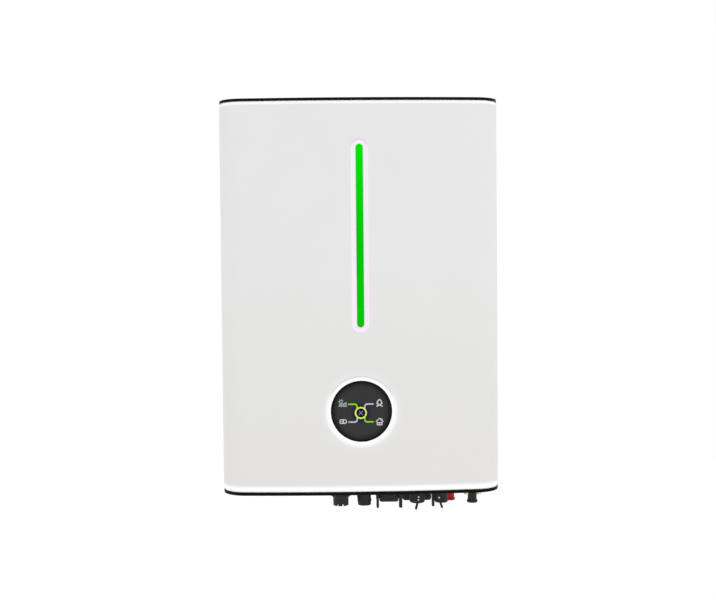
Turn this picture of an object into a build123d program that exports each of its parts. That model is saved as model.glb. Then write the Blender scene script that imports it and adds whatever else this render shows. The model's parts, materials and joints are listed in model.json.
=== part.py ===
"""A wall-hung string inverter with a battery port, as an assembly of separate pieces, in millimetres.

The row frame: +X to the right of a person facing the inverter, +Y into the wall, +Z up. The wall is the
plane y = 0 and the origin is the middle of the wall bracket's four fixing holes. Every piece is drawn with
z measured from the middle of the front cover, and save() then moves it down by BRACKET_Z.
"""

from build123d import *
import os
from math import cos, radians, sin, sqrt

# ---- overall ----
COVER_W = 390.0
COVER_H = 541.2
DEPTH = 190.0
BRACKET_Z = 192.0  # fixing holes' middle, above the middle of the cover
FRONT_Y = -DEPTH

# ---- front cover: bent shell, bowed in front, with large corner bends ----
FRONT_R = 1900.0
CORNER_R = 35.0
COVER_WALL = 2.5
COVER_BACK_Y = -125.0
BEVEL_IN = 1.5
BEVEL_TOP = 5.0
BEVEL_BOTTOM = 7.0
CAP_INSET = 0.5
TOP_CAP_T = 4.0
BOTTOM_CAP_T = 4.85
CAP_SKIRT = 8.0
CAP_ROUND = 1.0

# ---- light bar and round display, in smooth dishes in the cover ----
BAR_W = 9.8
BAR_L = 253.0
BAR_Z = 84.5
BAR_DISH_R = 11.5
BAR_FLOOR_R = 6.5
DISPLAY_R = 42.4
DISPLAY_Z = -158.5
DISPLAY_DISH_R = 50.0
DISPLAY_FLOOR_R = 43.9
DISH_DEPTH = 2.4
PAD_BACK_Y = FRONT_Y + 8.0
DISPLAY_PAD_BACK_Y = FRONT_Y + 10.0
LED_COUNT = 20
LED_PITCH = 12.5

# ---- housing ----
HOUSING_W = 376.0
HOUSING_H = 524.0
HOUSING_WALL = 4.0
HOUSING_FRONT_Y = -150.0
HOUSING_BACK_Y = -56.0
BASE_Z = -287.0  # underside, where the connectors are
BASE_FRONT_Y = -122.0
RIM_W = 12.0
RIM_T = 6.0
LID_T = 2.0
GASKET_T = 1.0
COVER_SCREW_Z = 200.0
COVER_SCREW_Y = -137.0
SINK_DEPTH = 2.0  # countersinks in the cover's sides
WINDOW_W = 280.0
WINDOW_H = 400.0

# ---- heat sink ----
SINK_W = 330.0
SINK_H = 500.0
SINK_BASE_T = 6.0
FIN_TIP_Y = -16.0
FIN_COUNT = 25
FIN_PITCH = 13.0
FIN_T = 2.5
SINK_SCREW_X = 149.5
SPACER_X = 116.0
SPACER_Z = -224.0

# ---- wall bracket and hanger ----
BRACKET_T = 2.5
BRACKET_W = 280.0
BRACKET_H = 68.0
FIXING_X = 220.0
FIXING_Z = 40.0
FIXING_R = 4.5
LIP_Y = -11.4
LIP_TOP_Z = 247.3
HANGER_T = 3.0
HANGER_W = 260.0
HANGER_BOTTOM_Z = 184.0
HANGER_REST_Z = 247.5
HANGER_LIP_Z = 236.0
HANGER_SCREWS_X = (-100.0, -60.0, 60.0, 100.0)
HANGER_SCREW_Z = 197.0

# ---- connectors on the underside ----
FRONT_ROW_Y = -104.0
BACK_ROW_Y = -76.0
PV_MINUS_X = -29.0
PV_PLUS_X = 5.4
SWITCH_X = 41.3
GRID_X = 82.7
BACKUP_X = 118.0
COM_X = 83.6
BATTERY_MINUS_X = 117.2
BATTERY_PLUS_X = 133.5
DATALOGGER_X = 163.5
SERVICE_X = -115.0
SERVICE_Y = -80.0
VENT_X = -56.0
VENT_Y = -90.0
PV_BOTTOM_Z = -306.6
PV_MINUS_R = 11.2
PV_PLUS_R = 9.6
PV_BORE_R = 7.2
PV_BORE_DEPTH = 15.0
PV_CONTACT_R = 3.0
PV_FINGER_H = 2.7
PV_FINGER_COUNT = 8
KNOB_BOTTOM_Z = -302.1
GUARD_BOTTOM_Z = -311.3
PV_STUB_R = 8.0
PV_NUT_T = 6.0
AC_STUB_R = 10.0
AC_NOSE_R = 8.0
AC_NOSE_Z = -299.5
GRID_CAP_R = 11.2
BACKUP_CAP_R = 9.8
AC_CAP_Z = -304.4
TAIL_W = 3.2
BATTERY_NOSE_Z = -302.6
BATTERY_CAP_Z = -307.1
DATALOGGER_FLANGE_Z = -289.3
DATALOGGER_NOSE_Z = -300.4
DATALOGGER_CAP_Z = -305.2
SMALL_NOSE_R = 5.4
SMALL_STUB_R = 5.0
SLIDE_GAP = 0.3
HOLE_GAP = 0.15

# ---- inside ----
BOARD_Y = -68.0
BOARD_T = 2.0
BOARD_W = 340.0
BOARD_BOTTOM_Z = -215.0
BOARD_TOP_Z = 235.0
BOARD_HOLES_X = (-160.0, 160.0)
BOARD_HOLES_Z = (-205.0, 10.0, 225.0)
CONTROL_X = (-30.0, 150.0)
CONTROL_Z = (95.0, 225.0)
CONTROL_Y = -118.0
CONTROL_T = 1.6
TERMINAL_Z = -210.0
TERMINAL_Y = -78.0
TERMINALS_X = (-44, -24, -8, 10, 83, 101, 118, 136)
LEAD_R = 2.6


def box(x, y, z):
    """A box from three (low, high) pairs."""
    size = [b - a for a, b in (x, y, z)]
    middle = [(a + b) / 2 for a, b in (x, y, z)]
    return Pos(*middle) * Box(*size)


def upright(x, y, z, r):
    """A round bar along Z between the two heights z."""
    return Pos(x, y, (z[0] + z[1]) / 2) * Cylinder(r, z[1] - z[0])


def crosswise(x, y, z, r):
    """A round bar along X between the two places x."""
    return Pos((x[0] + x[1]) / 2, y, z) * Rot(0, 90, 0) * Cylinder(r, x[1] - x[0])


def inward(x, y, z, r):
    """A round bar along Y between the two depths y."""
    return Pos(x, (y[0] + y[1]) / 2, z) * Rot(90, 0, 0) * Cylinder(r, y[1] - y[0])


def side_cone(side, depth, z, wide_r):
    """A 90 degree countersink shape in one side of the cover. Its wide end is depth below the face."""
    middle = side * (COVER_W / 2 - depth - SINK_DEPTH / 2)
    cone = Cone(wide_r - SINK_DEPTH, wide_r, SINK_DEPTH)
    return Pos(middle, COVER_SCREW_Y, z) * Rot(0, side * 90, 0) * cone


def slot_inward(y, z_middle, length, width):
    """An upright slot-shaped plate between the two depths y, on the middle plane."""
    face = Plane.XZ * Pos(0, z_middle) * Rot(0, 0, 90) * SlotOverall(length, width)
    return Pos(0, y[1], 0) * extrude(face, y[1] - y[0])


def hexagon(x, y, z, across_flats):
    """An upright hexagonal bar with corners to the left and right."""
    face = RegularPolygon(across_flats / 2, 6, major_radius=False)
    bar = extrude(face, z[1] - z[0])
    return Pos(x, y, z[0]) * bar


def bottom_rim(shape):
    """The outline edges of the lowest flat face."""
    return shape.faces().sort_by(Axis.Z)[0].edges()


def pan_screw_inward(x, z, y_head, towards_front, head_r, shaft_r, length, head_h=2.2):
    """A pan-head screw along Y. Its head stands on the plane y_head, on the front side or the wall side."""
    way = -1 if towards_front else 1
    head = inward(x, sorted((y_head, y_head + way * head_h)), z, head_r)
    shaft = inward(x, sorted((y_head - way * length, y_head)), z, shaft_r)
    recess = inward(x, sorted((y_head + way * head_h, y_head + way * 0.9)), z, head_r * 0.32)
    return head + shaft - recess


def pan_screw_up(x, y, z_head, head_r, shaft_r, length, head_h=2.0):
    """A pan-head screw pointing up, with its head under the plane z_head."""
    head = upright(x, y, (z_head - head_h, z_head), head_r)
    shaft = upright(x, y, (z_head, z_head + length), shaft_r)
    recess = upright(x, y, (z_head - head_h, z_head - 0.8), head_r * 0.32)
    return head + shaft - recess


# ---------------------------------------------------------------- front cover


def plan_face(inset, back_y):
    """The cover's shape seen from above, brought in by inset at the front and the sides."""
    half = COVER_W / 2 - inset
    radius = FRONT_R - inset
    front = FRONT_Y + inset
    side = front + radius - sqrt(radius**2 - half**2)
    bow = ThreePointArc((-half, side), (0, front), (half, side))
    rest = Polyline((half, side), (half, back_y), (-half, back_y), (-half, side))
    face = make_face([bow, *rest.edges()])
    return fillet(face.vertices().sort_by(Axis.Y)[:2], CORNER_R - inset)


def bevelled_end(height):
    """The end of the cover's outer shape, tapering upward from z = 0."""
    wide, narrow = plan_face(0, COVER_BACK_Y + 8), plan_face(BEVEL_IN, COVER_BACK_Y + 8)
    return loft([wide, Pos(0, 0, height) * narrow], ruled=True)


def dish_profile(rim_r, floor_r):
    """Half the section of a dish with a smooth S-shaped side, in the XY plane, axis on x = 0."""
    width = rim_r - floor_r
    r = (width**2 + DISH_DEPTH**2) / (4 * DISH_DEPTH)
    half_turn = radians(Vector(2 * r - DISH_DEPTH, width).get_angle(Vector(1, 0))) / 2
    step_in, step_down = r * sin(half_turn), r * (1 - cos(half_turn))
    floor_y, above_y = FRONT_Y + DISH_DEPTH, FRONT_Y - 1
    middle = ((rim_r + floor_r) / 2, FRONT_Y + DISH_DEPTH / 2)
    outer = ThreePointArc((rim_r, FRONT_Y), (rim_r - step_in, FRONT_Y + step_down), middle)
    inner = ThreePointArc(middle, (floor_r + step_in, floor_y - step_down), (floor_r, floor_y))
    rest = Polyline((floor_r, floor_y), (0, floor_y), (0, above_y), (rim_r, above_y), (rim_r, FRONT_Y))
    return make_face([outer, inner, *rest.edges()])


def dish_cutter(z_low, z_high, rim_r, floor_r):
    """What a dish takes away: round if z_low is z_high, else slot-shaped between those two centres."""
    half = dish_profile(rim_r, floor_r)
    turned = revolve(half, Axis.Y)
    cutter = Pos(0, 0, z_low) * turned
    if z_high > z_low:
        both = half + mirror(half, about=Plane.YZ)
        cutter += Pos(0, 0, z_high) * turned
        cutter += Pos(0, 0, z_low) * extrude(both, z_high - z_low)
    return cutter


def front_cover():
    half = COVER_H / 2
    outer = Pos(0, 0, BEVEL_BOTTOM - half) * extrude(
        plan_face(0, COVER_BACK_Y + 8), COVER_H - BEVEL_TOP - BEVEL_BOTTOM
    )
    outer += Pos(0, 0, half - BEVEL_TOP) * bevelled_end(BEVEL_TOP)
    outer += Pos(0, 0, BEVEL_BOTTOM - half) * mirror(bevelled_end(BEVEL_BOTTOM), about=Plane.XY)
    inner = Pos(0, 0, -half) * extrude(plan_face(COVER_WALL, COVER_BACK_Y + 9), COVER_H)
    shell = outer - inner
    shell -= box((-COVER_W, COVER_W), (COVER_BACK_Y, COVER_BACK_Y + 20), (-half, half))

    wall_y = FRONT_Y + 2
    shell += slot_inward((wall_y, PAD_BACK_Y), BAR_Z, BAR_L + 24, 32)
    shell += inward(0, (wall_y, DISPLAY_PAD_BACK_Y), DISPLAY_Z, DISPLAY_DISH_R + 4)

    reach = (BAR_L - BAR_W) / 2
    shell -= dish_cutter(BAR_Z - reach, BAR_Z + reach, BAR_DISH_R, BAR_FLOOR_R)
    shell -= dish_cutter(DISPLAY_Z, DISPLAY_Z, DISPLAY_DISH_R, DISPLAY_FLOOR_R)

    shell -= slot_inward((FRONT_Y, PAD_BACK_Y + 1), BAR_Z, BAR_L + 0.4, BAR_W + 0.4)
    shell -= inward(0, (FRONT_Y, FRONT_Y + 5.2), DISPLAY_Z, DISPLAY_R + 0.2)
    shell -= inward(0, (FRONT_Y, DISPLAY_PAD_BACK_Y + 1), DISPLAY_Z, DISPLAY_R - 4)
    for side in (-1, 1):
        for z in (-COVER_SCREW_Z, COVER_SCREW_Z):
            ends = sorted((side * (COVER_W / 2 - 5), side * (COVER_W / 2 + 1)))
            shell -= crosswise(ends, COVER_SCREW_Y, z, 2.2)
            shell -= side_cone(side, 0, z, 4.2)
    return shell


def end_cap(thickness):
    """A cap that closes the cover's upper end: its underside is the plane z = 0."""
    plate = extrude(plan_face(CAP_INSET, COVER_BACK_Y), thickness)
    top_edges = plate.faces().sort_by(Axis.Z)[-1].edges().sort_by(Axis.Y)[:-1]
    plate = fillet(top_edges, CAP_ROUND)
    skirt = extrude(plan_face(COVER_WALL + 0.2, COVER_BACK_Y - 2), -CAP_SKIRT)
    skirt -= extrude(plan_face(COVER_WALL + 2.2, COVER_BACK_Y), -CAP_SKIRT)
    return plate + skirt


def top_cap():
    return Pos(0, 0, COVER_H / 2) * end_cap(TOP_CAP_T)


def bottom_cap():
    return Pos(0, 0, -COVER_H / 2) * mirror(end_cap(BOTTOM_CAP_T), about=Plane.XY)


# ---------------------------------------------------------------- light bar and display


def light_bar_lens():
    """The diffuser that shows, and the wider foot that holds it behind the cover."""
    lens = slot_inward((FRONT_Y + 1.3, PAD_BACK_Y), BAR_Z, BAR_L, BAR_W)
    lens = fillet(lens.faces().sort_by(Axis.Y)[0].edges(), 1.2)
    return lens + slot_inward((PAD_BACK_Y, PAD_BACK_Y + 1.6), BAR_Z, BAR_L + 5, BAR_W + 5)


def light_bar_board():
    board = box((-7, 7), (-173.6, -172), (BAR_Z - BAR_L / 2, BAR_Z + BAR_L / 2))
    socket = box((-4, 4), (-177.6, -173.6), (BAR_Z - BAR_L / 2 + 0.5, BAR_Z - BAR_L / 2 + 5.5))
    return board + socket


def light_bar_leds():
    first = BAR_Z - LED_PITCH * (LED_COUNT - 1) / 2
    rows = [first + LED_PITCH * i for i in range(LED_COUNT)]
    return Compound([box((-1.75, 1.75), (-175.2, -173.6), (z - 1.4, z + 1.4)) for z in rows])


def display_window():
    disc = inward(0, (FRONT_Y + 2, FRONT_Y + 5), DISPLAY_Z, DISPLAY_R)
    return chamfer(disc.faces().sort_by(Axis.Y)[0].edges(), 0.4)


def display_board():
    """Round board with a light shroud in front of it: one well for each symbol on the display."""
    y = (-179.4, -170.6)
    shroud = inward(0, y, DISPLAY_Z, 38)
    shroud -= inward(0, y, DISPLAY_Z, 35.5)
    for x, z in ((0, 0), (-25, 12.5), (25, 12.5), (-25, -12.5), (25, -12.5)):
        shroud += inward(x, y, DISPLAY_Z + z, 8)
        shroud -= inward(x, y, DISPLAY_Z + z, 7)
    return shroud + inward(0, (-170.6, -169), DISPLAY_Z, 40)


def display_carrier():
    """Moulded holder behind the cover: a channel for the light bar and a cup for the display."""
    low, high = DISPLAY_Z + 40, BAR_Z + BAR_L / 2 + 12
    carrier = box((-16, 16), (PAD_BACK_Y, -169), (BAR_Z - BAR_L / 2 - 10, high))
    carrier -= box((-11, 11), (PAD_BACK_Y, -172), (BAR_Z - BAR_L / 2 - 6, high - 4))
    carrier += box((-16, 16), (DISPLAY_PAD_BACK_Y, -169), (low, BAR_Z - BAR_L / 2 - 9))
    carrier += inward(0, (DISPLAY_PAD_BACK_Y, -166), DISPLAY_Z, 50)
    carrier -= inward(0, (DISPLAY_PAD_BACK_Y, -169), DISPLAY_Z, 46)
    carrier -= inward(0, (-169, -166), DISPLAY_Z, 20)
    return carrier


def display_cable():
    """Flat lead from the display board, back through the lid to the control board."""
    behind_display = box((-8, 8), (-169, -160), (DISPLAY_Z - 6, DISPLAY_Z - 5))
    rise = box((-8, 8), (-160, -159), (DISPLAY_Z - 6, 129))
    through_lid = box((-8, 8), (-160, CONTROL_Y - CONTROL_T - 6), (129, 130))
    return behind_display + rise + through_lid


# ---------------------------------------------------------------- housing


def lid_screw_places():
    """Middles of the lid's screws, evenly spaced round the rim."""
    x_rim, z_rim = (HOUSING_W - RIM_W) / 2, (HOUSING_H - RIM_W) / 2
    across = [(x, side * z_rim) for side in (-1, 1) for x in (-120, 0, 120)]
    up = [(side * x_rim, z) for side in (-1, 1) for z in (-225, -75, 75, 225)]
    return across + up


def base_holes():
    """Round holes through the underside, as (x, y, radius) of the stub that fills each."""
    rows = [(x, y, PV_STUB_R) for x in (PV_MINUS_X, PV_PLUS_X) for y in (FRONT_ROW_Y, BACK_ROW_Y)]
    rows += [(x, FRONT_ROW_Y, AC_STUB_R) for x in (GRID_X, BACKUP_X)]
    rows += [(x, BACK_ROW_Y, SMALL_STUB_R) for x in (BATTERY_MINUS_X, BATTERY_PLUS_X, COM_X)]
    rows += [(SWITCH_X, FRONT_ROW_Y, SMALL_STUB_R), (DATALOGGER_X, FRONT_ROW_Y, SMALL_STUB_R)]
    rows += [(VENT_X, VENT_Y, 4.0)]
    return rows


def rear_housing():
    """Cast tub, open at the front, with a deeper foot that carries the connectors."""
    x, z = HOUSING_W / 2, HOUSING_H / 2
    wall = HOUSING_WALL
    tub = box((-x, x), (HOUSING_FRONT_Y, HOUSING_BACK_Y), (-z, z))
    tub = fillet(tub.edges().filter_by(Axis.Y), 10)
    foot = box((-x, x), (BASE_FRONT_Y, HOUSING_BACK_Y), (BASE_Z, -z + 20))
    tub += fillet(foot.edges().filter_by(Axis.Y).sort_by(Axis.Z)[:2], 10)
    tub -= box((wall - x, x - wall), (HOUSING_FRONT_Y + RIM_T, HOUSING_BACK_Y - wall), (wall - z, z - wall))
    tub -= box(
        (wall + 6 - x, x - wall - 6), (BASE_FRONT_Y + wall, HOUSING_BACK_Y - wall), (BASE_Z + wall, -z + 20)
    )
    tub -= box((RIM_W - x, x - RIM_W), (HOUSING_FRONT_Y, HOUSING_FRONT_Y + RIM_T), (RIM_W - z, z - RIM_W))
    tub -= box(
        (-WINDOW_W / 2, WINDOW_W / 2),
        (HOUSING_BACK_Y - wall, HOUSING_BACK_Y),
        (-WINDOW_H / 2 - 5, WINDOW_H / 2 - 5),
    )
    for px, pz in lid_screw_places():
        tub -= inward(px, (HOUSING_FRONT_Y, HOUSING_FRONT_Y + RIM_T - 0.5), pz, 2.05)
    for px, pz in sink_screw_places():
        tub -= inward(px, (HOUSING_BACK_Y - 3, HOUSING_BACK_Y), pz, 2.05)
    for px, pz in ((px, pz) for px in BOARD_HOLES_X for pz in BOARD_HOLES_Z):
        tub += inward(px, (BOARD_Y + 3, HOUSING_BACK_Y - wall), pz, 5)
    for side in (-1, 1):
        for pz in (-COVER_SCREW_Z, COVER_SCREW_Z):
            pad_top = side * (COVER_W / 2 - COVER_WALL - 0.2)
            tub += crosswise(sorted((side * (x - 1), pad_top)), COVER_SCREW_Y, pz, 7)
            tub -= crosswise(sorted((side * (x - 3), pad_top)), COVER_SCREW_Y, pz, 2.05)
    for px, py, r in base_holes():
        tub -= upright(px, py, (BASE_Z, BASE_Z + wall), r + HOLE_GAP)
    tub -= service_window((BASE_Z, BASE_Z + wall))
    for px, py in service_screw_places() + datalogger_screw_places():
        tub -= upright(px, py, (BASE_Z, BASE_Z + 3.4), 1.55)
    tub -= crosswise((x - 3, x), -90, -240, 2.55)
    return tub


def housing_lid():
    x, z = HOUSING_W / 2 - 1, HOUSING_H / 2 - 1
    back = HOUSING_FRONT_Y - GASKET_T
    lid = box((-x, x), (back - LID_T, back), (-z, z))
    lid = fillet(lid.edges().filter_by(Axis.Y), 9)
    lid -= box((-8.5, 8.5), (back - LID_T, back), (128, 131))
    for px, pz in lid_screw_places():
        lid -= inward(px, (back - LID_T, back), pz, 2.3)
    return lid


def lid_gasket():
    x, z = HOUSING_W / 2 - 2, HOUSING_H / 2 - 2
    y = (HOUSING_FRONT_Y - GASKET_T, HOUSING_FRONT_Y)
    seal = fillet(box((-x, x), y, (-z, z)).edges().filter_by(Axis.Y), 8)
    seal -= box((9 - x, x - 9), y, (9 - z, z - 9))
    for px, pz in lid_screw_places():
        seal -= inward(px, y, pz, 2.3)
    return seal


def lid_screws():
    head_y = HOUSING_FRONT_Y - GASKET_T - LID_T
    return Compound([pan_screw_inward(x, z, head_y, True, 4.0, 2.0, 8.0) for x, z in lid_screw_places()])


def cover_screws():
    """Countersunk screws, flush with the cover's sides, into the housing's pads."""
    screws = []
    for side in (-1, 1):
        for z in (-COVER_SCREW_Z, COVER_SCREW_Z):
            face = side * (COVER_W / 2 - 0.1)
            head = side_cone(side, 0.1, z, 4)
            shaft = crosswise(sorted((face - side * 8, face - side)), COVER_SCREW_Y, z, 2)
            recess = crosswise(sorted((face - side * 0.9, face)), COVER_SCREW_Y, z, 1.4)
            screws.append(head + shaft - recess)
    return Compound(screws)


# ---------------------------------------------------------------- heat sink


def sink_screw_places():
    return [(side * SINK_SCREW_X, z) for side in (-1, 1) for z in (-230, -115, 0, 115, 230)]


def sink_base_back():
    return HOUSING_BACK_Y + GASKET_T + SINK_BASE_T


def heat_sink():
    """Finned plate. Solid blocks among the fins take the hanger and the wall spacers."""
    x, z = SINK_W / 2, SINK_H / 2
    back = sink_base_back()
    sink = box((-x, x), (back - SINK_BASE_T, back), (-z, z))
    first = -FIN_PITCH * (FIN_COUNT - 1) / 2
    middles = [first + FIN_PITCH * i for i in range(FIN_COUNT)]
    sink += [box((m - FIN_T / 2, m + FIN_T / 2), (back - 1, FIN_TIP_Y), (-z, z)) for m in middles]
    for side in (-1, 1):
        sink += box(sorted((side * 49, side * 111)), (back - 1, FIN_TIP_Y), (HANGER_BOTTOM_Z + 2, 210))
        sink += box(
            sorted((side * (SPACER_X - 13), side * (SPACER_X + 13))),
            (back - 1, FIN_TIP_Y),
            (SPACER_Z - 13, SPACER_Z + 13),
        )
        sink -= inward(side * SPACER_X, (FIN_TIP_Y - 12, FIN_TIP_Y), SPACER_Z, 4.0)
    for px, pz in sink_screw_places():
        sink -= inward(px, (back - SINK_BASE_T, back), pz, 2.3)
    for px in HANGER_SCREWS_X:
        sink -= inward(px, (FIN_TIP_Y - 14, FIN_TIP_Y), HANGER_SCREW_Z, 2.55)
    return sink


def heat_sink_gasket():
    x, z = SINK_W / 2 - 1, SINK_H / 2 - 1
    y = (HOUSING_BACK_Y, HOUSING_BACK_Y + GASKET_T)
    seal = box((-x, x), y, (-z, z))
    seal -= box((-WINDOW_W / 2 - 2, WINDOW_W / 2 + 2), y, (-WINDOW_H / 2 - 7, WINDOW_H / 2 - 3))
    for px, pz in sink_screw_places():
        seal -= inward(px, y, pz, 2.3)
    return seal


def heat_sink_screws():
    back = sink_base_back()
    return Compound([pan_screw_inward(x, z, back, False, 4.0, 2.0, 9.5) for x, z in sink_screw_places()])


def hanger_plate():
    """Steel plate on the fins' tips. Its top folds back and down, to hook over the bracket's lip."""
    x = HANGER_W / 2
    t = HANGER_T
    back = FIN_TIP_Y + t
    top = HANGER_REST_Z + t
    plate = box((-x, x), (FIN_TIP_Y, back), (HANGER_BOTTOM_Z, top))
    plate = fillet(plate.edges().filter_by(Axis.Y).sort_by(Axis.Z)[:2], 8)
    plate += box((-x, x), (back - 1, -4), (HANGER_REST_Z, top))
    plate += box((-x, x), (-4 - t, -4), (HANGER_LIP_Z, top))
    plate = fillet(plate.edges().filter_by(Axis.X).sort_by(Axis.Z)[-2:], 2.4)
    for px in HANGER_SCREWS_X:
        plate -= inward(px, (FIN_TIP_Y, back), HANGER_SCREW_Z, 2.8)
    for px in (-80, 0, 80):
        plate -= box((px - 14, px + 14), (FIN_TIP_Y, back), (216, 232))
    return plate


def hanger_screws():
    head_y = FIN_TIP_Y + HANGER_T
    return Compound(
        [pan_screw_inward(x, HANGER_SCREW_Z, head_y, False, 4.5, 2.5, 15.0) for x in HANGER_SCREWS_X]
    )


def wall_spacers():
    """Rubber feet that keep the lower end of the fins off the wall."""
    feet = []
    for side in (-1, 1):
        pad = inward(side * SPACER_X, (FIN_TIP_Y, 0), SPACER_Z, 11)
        pad = fillet(pad.faces().sort_by(Axis.Y)[-1].edges(), 2)
        feet.append(pad + inward(side * SPACER_X, (FIN_TIP_Y - 11, FIN_TIP_Y), SPACER_Z, 3.9))
    return Compound(feet)


def wall_bracket():
    """Steel strip screwed to the wall, with a folded lip along its top."""
    x, t = BRACKET_W / 2, BRACKET_T
    low, high = BRACKET_Z - BRACKET_H / 2, BRACKET_Z + BRACKET_H / 2
    strip = box((-x, x), (-t, 0), (low, high))
    strip = fillet(strip.edges().filter_by(Axis.Y).sort_by(Axis.Z)[:2], 10)
    strip += box((-x, x), (LIP_Y, -t), (high - t, high))
    for a, b in ((-130, -40), (40, 130)):
        strip += box((a, b), (LIP_Y, LIP_Y + t), (high - t, LIP_TOP_Z))
    for px in (-FIXING_X / 2, FIXING_X / 2):
        for pz in (BRACKET_Z - FIXING_Z / 2, BRACKET_Z + FIXING_Z / 2):
            strip -= inward(px, (-t, 0), pz, FIXING_R)
    for px in (-35, 35):
        strip -= box((px - 25, px + 25), (-t, 0), (BRACKET_Z - 12, BRACKET_Z + 12))
    return strip


# ---------------------------------------------------------------- boards and power parts


def power_board():
    board = box((-BOARD_W / 2, BOARD_W / 2), (BOARD_Y - BOARD_T, BOARD_Y), (BOARD_BOTTOM_Z, BOARD_TOP_Z))
    for x in BOARD_HOLES_X:
        for z in BOARD_HOLES_Z:
            board -= inward(x, (BOARD_Y - BOARD_T, BOARD_Y), z, 2.2)
    return board


def board_standoffs():
    """Pillars under the power board, and longer ones that hold the control board above it."""
    low = [
        inward(x, (BOARD_Y, BOARD_Y + 3), z, 4.5) - inward(x, (BOARD_Y, BOARD_Y + 3), z, 2.05)
        for x in BOARD_HOLES_X
        for z in BOARD_HOLES_Z
    ]
    high = [
        inward(x, (CONTROL_Y, BOARD_Y - BOARD_T), z, 4)
        for x in (CONTROL_X[0] + 6, CONTROL_X[1] - 6)
        for z in (CONTROL_Z[0] + 6, CONTROL_Z[1] - 6)
    ]
    return Compound(low + high)


def board_screws():
    low = [
        pan_screw_inward(x, z, BOARD_Y - BOARD_T, True, 3.8, 2.0, 4.9)
        for x in BOARD_HOLES_X
        for z in BOARD_HOLES_Z
    ]
    high = [
        inward(x, (CONTROL_Y - CONTROL_T - 2, CONTROL_Y - CONTROL_T), z, 3)
        for x in (CONTROL_X[0] + 6, CONTROL_X[1] - 6)
        for z in (CONTROL_Z[0] + 6, CONTROL_Z[1] - 6)
    ]
    return Compound(low + high)


def power_modules():
    """Switching modules clamped to the heat sink through the housing's window."""
    front, back = BOARD_Y, HOUSING_BACK_Y + GASKET_T
    places = [(-85, 90), (0, 90), (85, 90), (-45, -60), (45, -60)]
    return Compound([box((x - 31, x + 31), (front, back), (z - 17, z + 17)) for x, z in places])


def dc_link_capacitors():
    cans = []
    for x in (-148, -112, -76):
        for z in (40, 76, 112):
            can = inward(x, (-118, BOARD_Y - BOARD_T), z, 15.5)
            cans.append(fillet(can.faces().sort_by(Axis.Y)[0].edges(), 1.5))
    return Compound(cans)


def boost_inductors():
    """Potted coils in cast boxes."""
    blocks = []
    for x in (-118, -36):
        block = box((x - 36, x + 36), (-130, BOARD_Y - BOARD_T), (-115, -35))
        blocks.append(fillet(block.edges().filter_by(Axis.Y), 6))
    return Compound(blocks)


def filter_chokes():
    """Ring-cored chokes standing on the board."""
    rings = []
    for x in (60, 126):
        ring = inward(x, (-100, BOARD_Y - BOARD_T), -75, 28) - inward(x, (-100, BOARD_Y - BOARD_T), -75, 11)
        rings.append(fillet(ring.faces().sort_by(Axis.Y)[0].edges(), 3))
    return Compound(rings)


def output_relays():
    middles = [-20 + 34 * i for i in range(5)]
    return Compound([box((x - 14, x + 14), (-94, BOARD_Y - BOARD_T), (-165, -135)) for x in middles])


def film_capacitors():
    middles = [-140, -106, -72]
    return Compound([box((x - 15, x + 15), (-104, BOARD_Y - BOARD_T), (-170, -130)) for x in middles])


def auxiliary_transformer():
    """Small wound transformer: a ferrite frame round a bobbin."""
    frame = box((20, 60), (-106, BOARD_Y - BOARD_T), (20, 60))
    bobbin = box((24, 56), (-102, BOARD_Y - BOARD_T - 4), (14, 66))
    return frame + bobbin


def control_board():
    """Signal board with its processor and plug sockets."""
    board = box(CONTROL_X, (CONTROL_Y - CONTROL_T, CONTROL_Y), CONTROL_Z)
    face = CONTROL_Y - CONTROL_T
    board += box((40, 64), (face - 2, face), (150, 174))
    for x in (-10, 80, 110):
        board += box((x - 9, x + 9), (face - 6, face), (CONTROL_Z[0] + 24, CONTROL_Z[0] + 32))
    return board


def terminal_blocks():
    """Screw terminals along the foot of the power board, one for each lead."""
    blocks = []
    for low, high in ((-60, 18), (72, 148)):
        block = box((low, high), (-92, BOARD_Y - BOARD_T), (TERMINAL_Z, TERMINAL_Z + 22))
        for x in (x for x in TERMINALS_X if low < x < high):
            block -= upright(x, TERMINAL_Y, (TERMINAL_Z, TERMINAL_Z + 8), LEAD_R + 0.2)
            block -= inward(x, (-92, -84), TERMINAL_Z + 15, 3)
        blocks.append(block)
    return Compound(blocks)


def power_leads():
    """Insulated leads from the sockets' stubs to the screw terminals."""
    front = [(PV_MINUS_X, -24), (PV_PLUS_X, 10), (GRID_X, 83), (BACKUP_X, 101)]
    leads = []
    for x, end_x in front:
        end = (end_x, TERMINAL_Y, TERMINAL_Z + 7)
        bend = (end_x, TERMINAL_Y, TERMINAL_Z - 6)
        path = FilletPolyline((x, FRONT_ROW_Y, -268), (x, FRONT_ROW_Y, -238), bend, end, radius=5)
        leads.append(sweep(Plane(origin=path @ 0, z_dir=path % 0) * Circle(LEAD_R), path))
    for x, end_x in ((PV_MINUS_X, -44), (PV_PLUS_X, -8), (BATTERY_MINUS_X, 118), (BATTERY_PLUS_X, 136)):
        end = (end_x, TERMINAL_Y, TERMINAL_Z + 7)
        bend = (end_x, TERMINAL_Y, TERMINAL_Z - 6)
        path = FilletPolyline((x, BACK_ROW_Y, -268), (x, BACK_ROW_Y, -250), bend, end, radius=5)
        leads.append(sweep(Plane(origin=path @ 0, z_dir=path % 0) * Circle(LEAD_R), path))
    return Compound(leads)


# ---------------------------------------------------------------- connectors


def stub(x, y, r, top_z=-268.0):
    """The part of a connector that goes up through the housing's underside."""
    return upright(x, y, (BASE_Z, top_z), r)


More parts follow.
